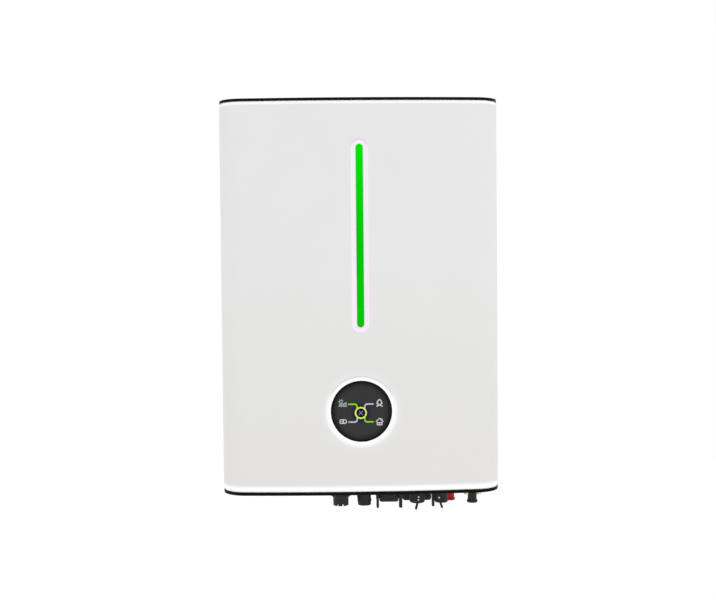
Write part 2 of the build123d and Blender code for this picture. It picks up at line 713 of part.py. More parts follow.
def pv_minus_socket(x, y):
    """Solar input with a collet of spring fingers round its bore."""
    socket = hexagon(x, y, (-293, BASE_Z), 26)
    socket += Pos(x, y, -294.5) * Cone(PV_MINUS_R, PV_MINUS_R + 1.4, 3)
    socket += upright(x, y, (PV_BOTTOM_Z, -296), PV_MINUS_R)
    socket = fillet(bottom_rim(socket), 0.6)
    socket -= upright(x, y, (PV_BOTTOM_Z, PV_BOTTOM_Z + PV_BORE_DEPTH), PV_BORE_R)
    socket -= upright(x, y, (PV_BOTTOM_Z, PV_BOTTOM_Z + PV_FINGER_H), PV_BORE_R + 0.4)
    gap_z = (PV_BOTTOM_Z - 1, PV_BOTTOM_Z + PV_FINGER_H - 0.1)
    gap = box((PV_BORE_R - 1, PV_MINUS_R + 1), (-1.3, 1.3), gap_z)
    for i in range(PV_FINGER_COUNT):
        socket -= Pos(x, y, 0) * Rot(0, 0, -95 + 360 / PV_FINGER_COUNT * (i + 0.5)) * gap
    return socket + stub(x, y, PV_STUB_R)


def pv_plus_socket(x, y):
    """Solar input with a plain round barrel and two side lugs."""
    socket = hexagon(x, y, (-290.6, BASE_Z), 22) + upright(x, y, (PV_BOTTOM_Z, -290), PV_PLUS_R)
    socket = fillet(bottom_rim(socket), 0.8)
    socket += box((x - PV_PLUS_R - 0.5, x + PV_PLUS_R + 0.5), (y - 2.5, y + 2.5), (-301.6, -298))
    socket -= upright(x, y, (PV_BOTTOM_Z, PV_BOTTOM_Z + PV_BORE_DEPTH), PV_CONTACT_R)
    return socket + stub(x, y, PV_STUB_R)


def pv_minus_sockets():
    return Compound([pv_minus_socket(PV_MINUS_X, y) for y in (FRONT_ROW_Y, BACK_ROW_Y)])


def pv_plus_sockets():
    return Compound([pv_plus_socket(PV_PLUS_X, y) for y in (FRONT_ROW_Y, BACK_ROW_Y)])


def pv_socket_nuts():
    z = (BASE_Z + HOUSING_WALL, BASE_Z + HOUSING_WALL + PV_NUT_T)
    places = [(x, y) for x in (PV_MINUS_X, PV_PLUS_X) for y in (FRONT_ROW_Y, BACK_ROW_Y)]
    return Compound([hexagon(x, y, z, 22) - upright(x, y, z, PV_STUB_R + 0.05) for x, y in places])


def dc_switch_base():
    """Switch plate with a wall behind the knob and two posts that stand guard beside it."""
    back_y = FRONT_ROW_Y + 18
    plate = box((23.0, 60.6), (FRONT_ROW_Y - 15, back_y), (BASE_Z - 3, BASE_Z))
    plate = fillet(plate.edges().filter_by(Axis.Z).sort_by(Axis.Y)[:2], 3)
    wall = box((23.0, 60.6), (back_y - 2.5, back_y), (KNOB_BOTTOM_Z + 0.8, BASE_Z - 2))
    plate += wall
    for x in ((23.0, 26.5), (56.0, 60.6)):
        post = box(x, (FRONT_ROW_Y - 6, FRONT_ROW_Y + 6), (GUARD_BOTTOM_Z, BASE_Z - 2))
        plate += chamfer(post.edges().group_by(Axis.Z)[0], 1.0)
    return plate - upright(SWITCH_X, FRONT_ROW_Y, (BASE_Z - 3, BASE_Z), 4.2)


def dc_switch_knob():
    """Round knob whose lower half is a grip bar."""
    knob = upright(SWITCH_X, FRONT_ROW_Y, (KNOB_BOTTOM_Z, -290.6), 14)
    knob = chamfer(bottom_rim(knob), 1.4)
    for side in (-1, 1):
        y = sorted((FRONT_ROW_Y + side * 5, FRONT_ROW_Y + side * 20))
        knob -= box((SWITCH_X - 20, SWITCH_X + 20), y, (KNOB_BOTTOM_Z, KNOB_BOTTOM_Z + 7))
    mark = box((7, 15), (-0.8, 0.8), (KNOB_BOTTOM_Z, KNOB_BOTTOM_Z + 0.7))
    knob -= Pos(SWITCH_X, FRONT_ROW_Y, 0) * mark
    return knob - upright(SWITCH_X, FRONT_ROW_Y, (-299, -290), 3)


def dc_switch_shaft():
    return upright(SWITCH_X, FRONT_ROW_Y, (-299, -253), 3)


def dc_switch_body():
    body = box((SWITCH_X - 18, SWITCH_X + 18), (FRONT_ROW_Y - 13, FRONT_ROW_Y + 13), (BASE_Z + 4, -245))
    body -= upright(SWITCH_X, FRONT_ROW_Y, (BASE_Z + 4, -252), 3.06)
    for z in (-274, -264, -254):
        body -= box((SWITCH_X - 18, SWITCH_X - 12), (FRONT_ROW_Y - 9, FRONT_ROW_Y + 9), (z - 2, z + 2))
    return body


def ac_socket(x):
    """Flanged socket; its nose is under a rubber cap."""
    socket = upright(x, FRONT_ROW_Y, (BASE_Z - 4, BASE_Z), 13)
    socket = fillet(bottom_rim(socket), 1)
    socket += upright(x, FRONT_ROW_Y, (AC_NOSE_Z, BASE_Z - 3), AC_NOSE_R)
    socket -= upright(x, FRONT_ROW_Y, (AC_NOSE_Z, AC_NOSE_Z + 8), 5.5)
    return socket + stub(x, FRONT_ROW_Y, AC_STUB_R)


def grid_socket():
    return ac_socket(GRID_X)


def backup_socket():
    """As the grid socket, with a latch arm on its left."""
    arm = box((104.1, 107.8), (FRONT_ROW_Y - 4, FRONT_ROW_Y + 4), (-310.1, BASE_Z))
    return ac_socket(BACKUP_X) + fillet(arm.edges().group_by(Axis.Z)[0], 0.8)


def ac_cap(x, r, round_r, tail):
    """Rubber cap. tail holds the (x, z) points that its pull tail runs through, down its front."""
    cap = upright(x, FRONT_ROW_Y, (AC_CAP_Z, BASE_Z - 4 - SLIDE_GAP), r)
    cap = fillet(bottom_rim(cap), round_r)
    cap -= upright(x, FRONT_ROW_Y, (AC_NOSE_Z - 0.5, BASE_Z - 4), AC_NOSE_R + SLIDE_GAP)
    line = Polyline(*[(px, pz) for px, pz in tail])
    strap = Plane.XZ * make_face(offset(line, TAIL_W / 2, kind=Kind.ARC).edges())
    return cap + Pos(0, FRONT_ROW_Y - r + 1.2, 0) * extrude(strap, 2.8)


def rivet(x, z, cap_r):
    """A round-headed rivet on a cap's pull tail."""
    front = FRONT_ROW_Y - cap_r - 1.6
    head = inward(x, (front - 0.9, front), z, 1.3)
    return fillet(head.faces().sort_by(Axis.Y)[0].edges(), 0.5)


def grid_cap():
    tail = ((84.0, -293.4), (83.2, -298.5), (81.8, -304.5), (80.0, -311.1))
    return ac_cap(GRID_X, GRID_CAP_R, 3.0, tail)


def backup_cap():
    tail = ((113.5, -293.4), (114.3, -297), (116.2, -304.5), (118.1, -309.9))
    return ac_cap(BACKUP_X, BACKUP_CAP_R, 2.4, tail)


def grid_cap_rivets():
    return Compound([rivet(83.4, -298.0, GRID_CAP_R), rivet(83.9, -294.1, GRID_CAP_R)])


def backup_cap_rivets():
    return Compound([rivet(113.9, -295.5, BACKUP_CAP_R)])


def com_connector():
    """Wide sealed housing for the signal plugs."""
    y = (BACK_ROW_Y - 11, BACK_ROW_Y + 11)
    shell = box((COM_X - 21.4, COM_X + 21.4), y, (-305.4, BASE_Z))
    shell = fillet(shell.edges().filter_by(Axis.Y).group_by(Axis.Z)[0], 4)
    shell = fillet(shell.edges().filter_by(Axis.Z), 2)
    for x in (COM_X - 16, COM_X + 16):
        shell -= upright(x, BACK_ROW_Y, (-305.4, -303.6), 2.4)
    return shell + stub(COM_X, BACK_ROW_Y, SMALL_STUB_R)


def battery_sockets():
    y = (BACK_ROW_Y - 10, BACK_ROW_Y + 10)
    base = fillet(box((108.4, 142.6), y, (BASE_Z - 4, BASE_Z)).edges().filter_by(Axis.Z), 3)
    for x in (BATTERY_MINUS_X, BATTERY_PLUS_X):
        base += upright(x, BACK_ROW_Y, (BATTERY_NOSE_Z, BASE_Z - 3), SMALL_NOSE_R)
        base += stub(x, BACK_ROW_Y, SMALL_STUB_R)
        base -= upright(x, BACK_ROW_Y, (BATTERY_NOSE_Z, BATTERY_NOSE_Z + 10), 3.5)
    return base


def rimmed_cap(x, y, bottom_z, top_z, rim_h, nose_z):
    """Round rubber cap with a grip rim at its lower end."""
    cap = upright(x, y, (bottom_z + rim_h, top_z), 6.6)
    rim = upright(x, y, (bottom_z, bottom_z + rim_h), 7.8)
    cap += fillet(rim.edges().filter_by(GeomType.CIRCLE), 1.1)
    return cap - upright(x, y, (nose_z - 0.5, top_z), SMALL_NOSE_R + SLIDE_GAP)


def battery_plus_cap():
    return rimmed_cap(BATTERY_PLUS_X, BACK_ROW_Y, BATTERY_CAP_Z, BASE_Z - 4.3, 3.6, BATTERY_NOSE_Z)


def battery_minus_cap():
    return rimmed_cap(BATTERY_MINUS_X, BACK_ROW_Y, BATTERY_CAP_Z, BASE_Z - 4.3, 3.6, BATTERY_NOSE_Z)


def datalogger_screw_places():
    return [(DATALOGGER_X + dx, FRONT_ROW_Y + dy) for dx in (-9.1, 9.1) for dy in (-6.2, 6.2)]


def datalogger_port():
    """Port for a plug-in monitor, on a screwed flange."""
    y, z = (FRONT_ROW_Y - 12, FRONT_ROW_Y + 12), (DATALOGGER_FLANGE_Z, BASE_Z)
    flange = box((141.6, 182.4), y, z)
    flange = fillet(flange.edges().filter_by(Axis.Z), 9)
    flange = fillet(bottom_rim(flange), 0.8)
    flange += upright(DATALOGGER_X, FRONT_ROW_Y, (DATALOGGER_NOSE_Z, BASE_Z - 1), SMALL_NOSE_R)
    flange -= upright(DATALOGGER_X, FRONT_ROW_Y, (DATALOGGER_NOSE_Z, DATALOGGER_NOSE_Z + 9), 3.5)
    for px, py in datalogger_screw_places():
        flange -= upright(px, py, z, 1.6)
    return flange + stub(DATALOGGER_X, FRONT_ROW_Y, SMALL_STUB_R)


def datalogger_screws():
    places = datalogger_screw_places()
    return Compound([pan_screw_up(x, y, DATALOGGER_FLANGE_Z, 3.1, 1.5, 5.5, head_h=3.0) for x, y in places])


def datalogger_cap():
    top_z = DATALOGGER_FLANGE_Z - SLIDE_GAP
    return rimmed_cap(DATALOGGER_X, FRONT_ROW_Y, DATALOGGER_CAP_Z, top_z, 3.8, DATALOGGER_NOSE_Z)


def service_screw_places():
    return [(SERVICE_X + dx, SERVICE_Y + dy) for dx in (-39, 39) for dy in (-14.5, 14.5)]


def service_window(z):
    return box((SERVICE_X - 34, SERVICE_X + 34), (SERVICE_Y - 12, SERVICE_Y + 12), z)


def service_cover_gasket():
    z = (BASE_Z - 1, BASE_Z)
    seal = box((SERVICE_X - 44, SERVICE_X + 44), (SERVICE_Y - 18, SERVICE_Y + 18), z) - service_window(z)
    for x, y in service_screw_places():
        seal -= upright(x, y, z, 1.8)
    return seal


def service_cover():
    z = (BASE_Z - 3.4, BASE_Z - 1)
    plate = box((SERVICE_X - 45, SERVICE_X + 45), (SERVICE_Y - 19, SERVICE_Y + 19), z)
    plate = fillet(plate.edges().filter_by(Axis.Z), 5)
    plate = fillet(bottom_rim(plate), 0.8)
    for x, y in service_screw_places():
        plate -= upright(x, y, z, 1.8)
    return plate


def service_cover_screws():
    places = service_screw_places()
    return Compound([pan_screw_up(x, y, BASE_Z - 3.4, 2.8, 1.5, 6.4, head_h=1.8) for x, y in places])


def vent_valve():
    """Pressure-equalising plug with a slotted cap."""
    valve = fillet(bottom_rim(upright(VENT_X, VENT_Y, (BASE_Z - 4.5, BASE_Z), 7)), 1)
    for angle in (0, 60, 120):
        valve -= Pos(VENT_X, VENT_Y, BASE_Z - 2.2) * Rot(0, 0, angle) * Box(16, 1.2, 1.4)
    return valve + upright(VENT_X, VENT_Y, (BASE_Z, -276), 4)


def earth_screw():
    """Earthing screw on the housing's right side, with its washer."""
    x = HOUSING_W / 2
    washer = crosswise((x, x + 1.2), -90, -240, 6)
    head = Pos(x + 1.2, -90, -240) * Rot(0, 90, 0) * extrude(RegularPolygon(4, 6, major_radius=False), 2.8)
    return washer + head + crosswise((x - 2.9, x + 0.5), -90, -240, 2.5)


PIECES = (
    wall_bracket,
    front_cover,
    top_cap,
    bottom_cap,
    light_bar_lens,
    light_bar_board,
    light_bar_leds,
    display_window,
    display_board,
    display_carrier,
    display_cable,
    rear_housing,
    housing_lid,
    lid_gasket,
    lid_screws,
    cover_screws,
    heat_sink,
    heat_sink_gasket,
    heat_sink_screws,
    hanger_plate,
    hanger_screws,
    wall_spacers,
    power_board,
    board_standoffs,
    board_screws,
    power_modules,
    dc_link_capacitors,
    boost_inductors,
    filter_chokes,
    output_relays,
    film_capacitors,
    auxiliary_transformer,
    control_board,
    terminal_blocks,
    power_leads,
    pv_minus_sockets,
    pv_plus_sockets,
    pv_socket_nuts,
    dc_switch_base,
    dc_switch_knob,
    dc_switch_shaft,
    dc_switch_body,
    grid_socket,
    grid_cap,
    grid_cap_rivets,
    backup_socket,
    backup_cap,
    backup_cap_rivets,
    com_connector,
    battery_sockets,
    battery_plus_cap,
    battery_minus_cap,
    datalogger_port,
    datalogger_screws,
    datalogger_cap,
    service_cover,
    service_cover_gasket,
    service_cover_screws,
    vent_valve,
    earth_screw,
)


def save(piece):
    """Writes one node, named after the function that makes it, in the row frame."""
    export_step(Pos(0, 0, -BRACKET_Z) * piece(), os.path.join("parts", piece.__name__ + ".step"))


os.makedirs("parts", exist_ok=True)
for piece in PIECES:
    save(piece)
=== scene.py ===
import json
from math import cos, pi, radians, sin

import bmesh
import bpy
from mathutils import Matrix, Vector


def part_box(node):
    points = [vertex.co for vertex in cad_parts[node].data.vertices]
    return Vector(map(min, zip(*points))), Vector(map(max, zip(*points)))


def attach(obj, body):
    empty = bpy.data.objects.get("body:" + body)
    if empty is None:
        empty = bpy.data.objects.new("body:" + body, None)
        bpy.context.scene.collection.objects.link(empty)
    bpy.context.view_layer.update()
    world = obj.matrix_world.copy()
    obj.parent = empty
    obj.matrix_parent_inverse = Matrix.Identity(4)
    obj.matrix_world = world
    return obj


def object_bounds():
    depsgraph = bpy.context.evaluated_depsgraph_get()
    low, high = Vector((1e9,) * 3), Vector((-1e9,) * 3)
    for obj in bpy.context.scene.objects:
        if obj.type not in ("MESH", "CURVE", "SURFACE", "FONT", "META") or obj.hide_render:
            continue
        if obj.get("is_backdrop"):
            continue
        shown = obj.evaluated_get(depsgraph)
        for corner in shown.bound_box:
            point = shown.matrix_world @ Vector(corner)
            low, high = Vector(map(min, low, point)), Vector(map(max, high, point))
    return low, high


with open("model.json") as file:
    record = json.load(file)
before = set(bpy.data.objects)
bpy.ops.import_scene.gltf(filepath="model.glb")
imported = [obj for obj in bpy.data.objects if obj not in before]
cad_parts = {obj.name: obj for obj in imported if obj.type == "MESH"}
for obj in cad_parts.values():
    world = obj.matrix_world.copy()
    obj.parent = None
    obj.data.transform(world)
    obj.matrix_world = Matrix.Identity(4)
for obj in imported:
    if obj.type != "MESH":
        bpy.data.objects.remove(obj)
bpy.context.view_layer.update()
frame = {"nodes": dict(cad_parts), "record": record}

MM = 0.001
# The lit ring's middle and radius, in millimetres from the middle of the display.
RING_X, RING_Z, RING_R = -0.95, -2.15, 7.45

# ---------------------------------------------------------------- materials

# The mix node has several sockets of each name, so the ones for colour go by number.
MIX_UNDER, MIX_OVER, MIX_RESULT = 6, 7, 2


class Finish:
    """A material whose nodes are added one at a time. Sizes of grain and bumps are in millimetres."""

    def __init__(self, name, roughness, metallic=0.0, specular=0.5):
        self.material = bpy.data.materials.new(name)
        self.material.use_nodes = True
        self.tree = self.material.node_tree
        self.shader = self.tree.nodes["Principled BSDF"]
        self.shader.inputs["Roughness"].default_value = roughness
        self.shader.inputs["Metallic"].default_value = metallic
        self.shader.inputs["Specular IOR Level"].default_value = specular
        self.place = self.tree.nodes.new("ShaderNodeTexCoord").outputs["Object"]
        self.normal = None

    def link(self, output, target):
        self.tree.links.new(output, target)

    def stretched(self, x, y, z):
        """The place on the object with each axis scaled, for grain that runs one way."""
        node = self.tree.nodes.new("ShaderNodeMapping")
        node.inputs["Scale"].default_value = (x, y, z)
        self.link(self.place, node.inputs["Vector"])
        return node.outputs["Vector"]

    def noise(self, size, detail=2.0, roughness=0.5, place=None):
        node = self.tree.nodes.new("ShaderNodeTexNoise")
        node.inputs["Scale"].default_value = 1 / (size * MM)
        node.inputs["Detail"].default_value = detail
        node.inputs["Roughness"].default_value = roughness
        self.link(place or self.place, node.inputs["Vector"])
        return node.outputs["Fac"]

    def calc(self, operation, first, second=0.0):
        """One step of arithmetic on node outputs or decimal numbers."""
        node = self.tree.nodes.new("ShaderNodeMath")
        node.operation = operation
        for value, socket in zip((first, second), node.inputs):
            if isinstance(value, float):
                socket.default_value = value
            else:
                self.link(value, socket)
        return node.outputs["Value"]

    def height(self):
        """How high a place is, from the origin."""
        split = self.tree.nodes.new("ShaderNodeSeparateXYZ")
        self.link(self.place, split.inputs["Vector"])
        return split.outputs["Z"]

    def away(self, x, z_low, z_high):
        """How far a place is, seen from the front, from the upright line at x between two heights."""
        split = self.tree.nodes.new("ShaderNodeSeparateXYZ")
        self.link(self.place, split.inputs["Vector"])
        nearest = self.calc("MINIMUM", self.calc("MAXIMUM", split.outputs["Z"], z_low), z_high)
        across = self.calc("SUBTRACT", split.outputs["X"], x)
        along = self.calc("SUBTRACT", split.outputs["Z"], nearest)
        across_squared = self.calc("MULTIPLY", across, across)
        along_squared = self.calc("MULTIPLY", along, along)
        return self.calc("SQRT", self.calc("ADD", across_squared, along_squared))

    def spread(self, value, low, high, start=0.3, end=0.7):
        """Goes evenly from low to high as value goes from start to end, and stays there outside them."""
        node = self.tree.nodes.new("ShaderNodeMapRange")
        node.inputs["From Min"].default_value = start
        node.inputs["From Max"].default_value = end
        node.inputs["To Min"].default_value = low
        node.inputs["To Max"].default_value = high
        self.link(value, node.inputs["Value"])
        return node.outputs["Result"]

    def fade(self, value, stretch, origin=0.0, low=1, high=0):
        """Goes from low to high over a stretch of value, which is given in millimetres from the origin."""
        start, end = (origin + distance * MM for distance in stretch)
        return self.spread(value, low, high, start, end)

    def colour(self, value, first, second, start=0.3, end=0.7):
        """Colours the surface from first to second as value goes from start to end."""
        ramp = self.tree.nodes.new("ShaderNodeValToRGB")
        ramp.color_ramp.elements[0].position = start
        ramp.color_ramp.elements[0].color = (*first, 1)
        ramp.color_ramp.elements[1].position = end
        ramp.color_ramp.elements[1].color = (*second, 1)
        self.link(value, ramp.inputs["Fac"])
        self.link(ramp.outputs["Color"], self.shader.inputs["Base Color"])
        return ramp.outputs["Color"]

    def tint(self, value, colour):
        """Mixes another colour over the surface's colour, wholly where value is 1."""
        mix = self.tree.nodes.new("ShaderNodeMix")
        mix.data_type = "RGBA"
        base = self.shader.inputs["Base Color"]
        self.link(value, mix.inputs["Factor"])
        self.link(base.links[0].from_socket, mix.inputs[MIX_UNDER])
        mix.inputs[MIX_OVER].default_value = (*colour, 1)
        self.link(mix.outputs[MIX_RESULT], base)

    def rough(self, value, low, high):
        self.link(self.spread(value, low, high), self.shader.inputs["Roughness"])

    def bump(self, value, depth):
        """Raises the surface by up to depth millimetres, over any bump that is there already."""
        node = self.tree.nodes.new("ShaderNodeBump")
        node.inputs["Strength"].default_value = 1.0
        node.inputs["Distance"].default_value = depth * MM
        self.link(value, node.inputs["Height"])
        if self.normal:
            self.link(self.normal, node.inputs["Normal"])
        self.normal = node.outputs["Normal"]
        self.link(self.normal, self.shader.inputs["Normal"])

    def glow(self, colour, strength):
        self.shader.inputs["Emission Color"].default_value = (*colour, 1)
        self.shader.inputs["Emission Strength"].default_value = strength


def around(colour, share):
    """Two colours, darker and lighter than the given one by that share."""
    return [c * (1 - share) for c in colour], [min(1.0, c * (1 + share)) for c in colour]


def coated(name, colour, grain, depth, roughness, share=0.02):
    """Powder coat: an even colour over a fine, slightly pebbled skin."""
    finish = Finish(name, roughness, specular=0.4)
    finish.colour(finish.noise(60, 3), *around(colour, share))
    finish.rough(finish.noise(9, 3), roughness - 0.05, roughness + 0.05)
    finish.bump(finish.noise(grain * 6, 1), depth * 1.5)
    finish.bump(finish.noise(grain, 3, 0.6), depth)
    return finish.material


COVER_WHITE = (0.747, 0.747, 0.745), (0.757, 0.757, 0.755)
# Painted shade, darker and warmer, low on the cover.
COVER_LOW_SHADE = (0.732, 0.725, 0.715)
# Painted highlight on the bevelled ends and in and round the display's dish.
COVER_PAINTED_HIGHLIGHT = (0.985, 0.98, 0.985)
# Painted highlight, tinged pink, in the light bar's dish.
SLOT_PINK_HIGHLIGHT = (0.975, 0.82, 0.975)
# Painted shade at the dishes' upper rims.
RIM_PAINTED_SHADE = (0.35, 0.35, 0.35)
# Stretches over which the cover's painted shades and highlights fade, in millimetres.
LOW_SHADE_FADE = (60, 320)  # up from the cover's foot
FOOT_HIGHLIGHT_FADE = (5.5, 10.0)  # up from the cover's foot
HEAD_HIGHLIGHT_FADE = (-5.5, -3.0)  # from the cover's head, which is above it
DISH_HIGHLIGHT_FADE = (46.5, 52)  # out from the display's middle
HALO_HIGHLIGHT_FADE = (50, 60)  # out from the display's middle
SLOT_HIGHLIGHT_FADE = (10.2, 12.8)  # out from the light bar's middle line
SHADE_FADE = (0, 8)  # up from where a rim's shade begins
HALO_HIGHLIGHT_SHARE = 0.12
SHADE_SHARE = 0.4
SLOT_RIM = 11.3  # from the light bar's middle line
DISH_RIM = 48.8  # from the display's middle
RIM_REACH = 2.2  # how far a rim's shade goes to either side
DISH_SHADE_UP = 20  # where the dish's shade begins, above the display's middle


def cover_coat(name):
    """White powder coat with painted light and shade: painted shade makes it a little darker and warmer low
    down. It has painted highlights in the two dishes and on the bevelled ends, a painted highlight tinged
    pink in the light bar's dish, and painted shade at the dishes' upper rims."""
    finish = Finish(name, roughness=0.42, specular=0.35)
    cover_low, cover_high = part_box("front_cover")
    lens_low, lens_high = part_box("light_bar_lens")
    window_low, window_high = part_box("display_window")
    end = (lens_high.x - lens_low.x) / 2
    middle = (window_low.z + window_high.z) / 2
    from_bar = finish.away(0.0, lens_low.z + end, lens_high.z - end)
    from_window = finish.away(0.0, middle, middle)
    height = finish.height()

    finish.colour(finish.noise(60, 3), *COVER_WHITE)
    # Painted shade towards the cover's foot.
    finish.tint(finish.fade(height, LOW_SHADE_FADE, cover_low.z), COVER_LOW_SHADE)
    # Painted highlights on the bevelled foot and head, and in and round the display's dish.
    foot = finish.fade(height, FOOT_HIGHLIGHT_FADE, cover_low.z)
    head = finish.fade(height, HEAD_HIGHLIGHT_FADE, cover_high.z, low=0, high=1)
    dish = finish.fade(from_window, DISH_HIGHLIGHT_FADE)
    glow = finish.fade(from_window, HALO_HIGHLIGHT_FADE, low=HALO_HIGHLIGHT_SHARE)
    ends = finish.calc("MAXIMUM", foot, head)
    finish.tint(finish.calc("MAXIMUM", ends, finish.calc("MAXIMUM", dish, glow)), COVER_PAINTED_HIGHLIGHT)
    # Painted highlight, tinged pink, in the light bar's dish.
    finish.tint(finish.fade(from_bar, SLOT_HIGHLIGHT_FADE), SLOT_PINK_HIGHLIGHT)

    # Painted shade under the upper rims of the light bar's dish and the display's dish.
    bar_shade = (from_bar, SLOT_RIM, lens_high.z - end)
    dish_shade = (from_window, DISH_RIM, middle + DISH_SHADE_UP * MM)
    for distance, rim, shade_foot in (bar_shade, dish_shade):
        inner = finish.fade(distance, (rim - RIM_REACH, rim), low=0, high=1)
        outer = finish.fade(distance, (rim, rim + RIM_REACH))
        above = finish.fade(height, SHADE_FADE, shade_foot, low=0, high=SHADE_SHARE)
        finish.tint(finish.calc("MULTIPLY", finish.calc("MINIMUM", inner, outer), above), RIM_PAINTED_SHADE)

    finish.rough(finish.noise(9, 3), 0.37, 0.47)
    finish.bump(finish.noise(4.8, 1), 0.009)
    finish.bump(finish.noise(0.8, 3, 0.6), 0.006)
    return finish.material


def moulded(name, colour, grain=0.5, depth=0.02, roughness=0.5, specular=0.3, share=0.12):
    """Moulded plastic with a fine spark-eroded texture and slight flow marks."""
    finish = Finish(name, roughness, specular=specular)
    finish.colour(finish.noise(14, 4, 0.6), *around(colour, share))
    finish.rough(finish.noise(5, 4), roughness - 0.08, roughness + 0.1)
    finish.bump(finish.noise(grain, 2, 0.7), depth)
    return finish.material


def rubber(name, colour, roughness=0.62):
    """Soft rubber: matt, a little dusty, with shallow mottling."""
    finish = Finish(name, roughness, specular=0.25)
    finish.colour(finish.noise(4, 5, 0.65), *around(colour, 0.2))
    finish.rough(finish.noise(2.5, 4), roughness - 0.1, roughness + 0.12)
    finish.bump(finish.noise(0.35, 3), 0.015)
    finish.shader.inputs["Sheen Weight"].default_value = 0.08
    return finish.material


def metal(name, colour, roughness, grain=(1, 1, 1), size=1.2, depth=0.01, share=0.08):
    """Metal whose fine grain is stretched along one way, with soft stains and a patchy shine."""
    finish = Finish(name, roughness, metallic=1.0)
    lines = finish.noise(size, 4, 0.7, finish.stretched(*grain))
    finish.colour(finish.noise(22, 5, 0.6), *around(colour, share))
    finish.rough(lines, roughness - 0.1, roughness + 0.12)
    finish.bump(lines, depth)
    return finish.material


def zinc_plate(name):
    """Zinc-plated sheet: a faint spangle of crystals under the shine."""
    finish = Finish(name, roughness=0.4, metallic=1.0)
    crystal_size = 7 * MM
    crystals = finish.tree.nodes.new("ShaderNodeTexVoronoi")
    crystals.inputs["Scale"].default_value = 1 / crystal_size
    finish.link(finish.place, crystals.inputs["Vector"])
    shade = finish.tree.nodes.new("ShaderNodeRGBToBW")
    finish.link(crystals.outputs["Color"], shade.inputs["Color"])
    finish.colour(shade.outputs["Val"], (0.50, 0.52, 0.54), (0.68, 0.69, 0.70), 0.1, 0.9)
    finish.rough(shade.outputs["Val"], 0.3, 0.46)
    finish.bump(finish.noise(0.8, 4), 0.006)
    return finish.material


def circuit_board(name):
    """Solder resist over copper: green, with faint tracks."""
    finish = Finish(name, roughness=0.32, specular=0.5)
    tracks = finish.tree.nodes.new("ShaderNodeTexBrick")
    tracks.inputs["Scale"].default_value = 60
    tracks.inputs["Mortar Size"].default_value = 0.03
    turned = finish.tree.nodes.new("ShaderNodeMapping")
    turned.inputs["Rotation"].default_value = (pi / 2, 0, 0)
    finish.link(finish.place, turned.inputs["Vector"])
    finish.link(turned.outputs["Vector"], tracks.inputs["Vector"])
    finish.colour(tracks.outputs["Fac"], (0.010, 0.085, 0.035), (0.03, 0.17, 0.07), 0.2, 0.8)
    finish.bump(tracks.outputs["Fac"], 0.03)
    return finish.material


def lit_diffuser(name):
    """Milky green plastic lit from behind: even below, and ever brighter from its middle up."""
    finish = Finish(name, roughness=0.35, specular=0.01)
    low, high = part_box("light_bar_lens")
    middle = (low.z + high.z) / 2
    height = finish.spread(finish.away(0.0, low.z, low.z), 0, 0.9, middle - low.z, high.z - low.z)
    value = finish.calc("ADD", height, finish.spread(finish.noise(9, 2), 0, 0.1))
    green = finish.colour(value, (0.0, 0.355, 0.0), (0.0, 0.50, 0.0), start=0, end=1)
    finish.link(green, finish.shader.inputs["Emission Color"])
    finish.shader.inputs["Emission Strength"].default_value = 0.55
    finish.bump(finish.noise(0.7, 2), 0.01)
    return finish.material


WINDOW_HAZE = (0.0365, 0.0370, 0.0378)
WINDOW_BORDER = (0.0005, 0.0005, 0.0005)
BORDER_START, BORDER_END = 0.72, 0.985  # as shares of the window's radius
# Painted indigo glow that the lit ring casts on the window.
RING_PAINTED_GLOW = (0.006, 0.002, 0.062)
RING_GLOW_FADE = (6, 16)  # out from the ring's middle, in millimetres


def smoked_window(name):
    """Hard-coated dark acrylic, faintly hazy, with a black border printed behind its edge. The indigo light
    that the lit ring casts on the window near it is painted in."""
    finish = Finish(name, roughness=0.18, specular=0.05)
    low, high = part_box("display_window")
    middle, radius = (low.z + high.z) / 2, (high.x - low.x) / 2
    edge = finish.away(0.0, middle, middle)
    edge = finish.spread(edge, 0, 1, radius * BORDER_START, radius * BORDER_END)
    edge = finish.calc("POWER", edge, 1.8)
    haze = finish.spread(finish.noise(26, 3), 0, 0.08)
    finish.colour(finish.calc("ADD", edge, haze), WINDOW_HAZE, WINDOW_BORDER, start=0, end=1)
    ring_z = middle + RING_Z * MM
    from_ring = finish.away(RING_X * MM, ring_z, ring_z)
    # Painted indigo glow from the lit ring.
    finish.tint(finish.fade(from_ring, RING_GLOW_FADE), RING_PAINTED_GLOW)
    finish.rough(finish.noise(8, 4), 0.14, 0.22)
    finish.bump(finish.noise(11, 1), 0.004)
    return finish.material


def lit_symbol(name, colour, strength):
    """Back-lit print: the light is a little uneven across it."""
    finish = Finish(name, roughness=0.5, specular=0.03)
    shade = finish.colour(finish.noise(3.0, 2), *around(colour, 0.06))
    finish.link(shade, finish.shader.inputs["Emission Color"])
    finish.shader.inputs["Emission Strength"].default_value = strength
    return finish.material


def shrink_sleeve(name):
    """The glossy dark blue film round a capacitor's can, with slight wrinkles along its length."""
    finish = Finish(name, roughness=0.28, specular=0.5)
    finish.colour(finish.noise(12, 3), (0.012, 0.014, 0.035), (0.02, 0.022, 0.05))
    finish.rough(finish.noise(4, 3), 0.2, 0.36)
    finish.bump(finish.noise(3, 2, 0.5, finish.stretched(1, 0.2, 1)), 0.03)
    return finish.material


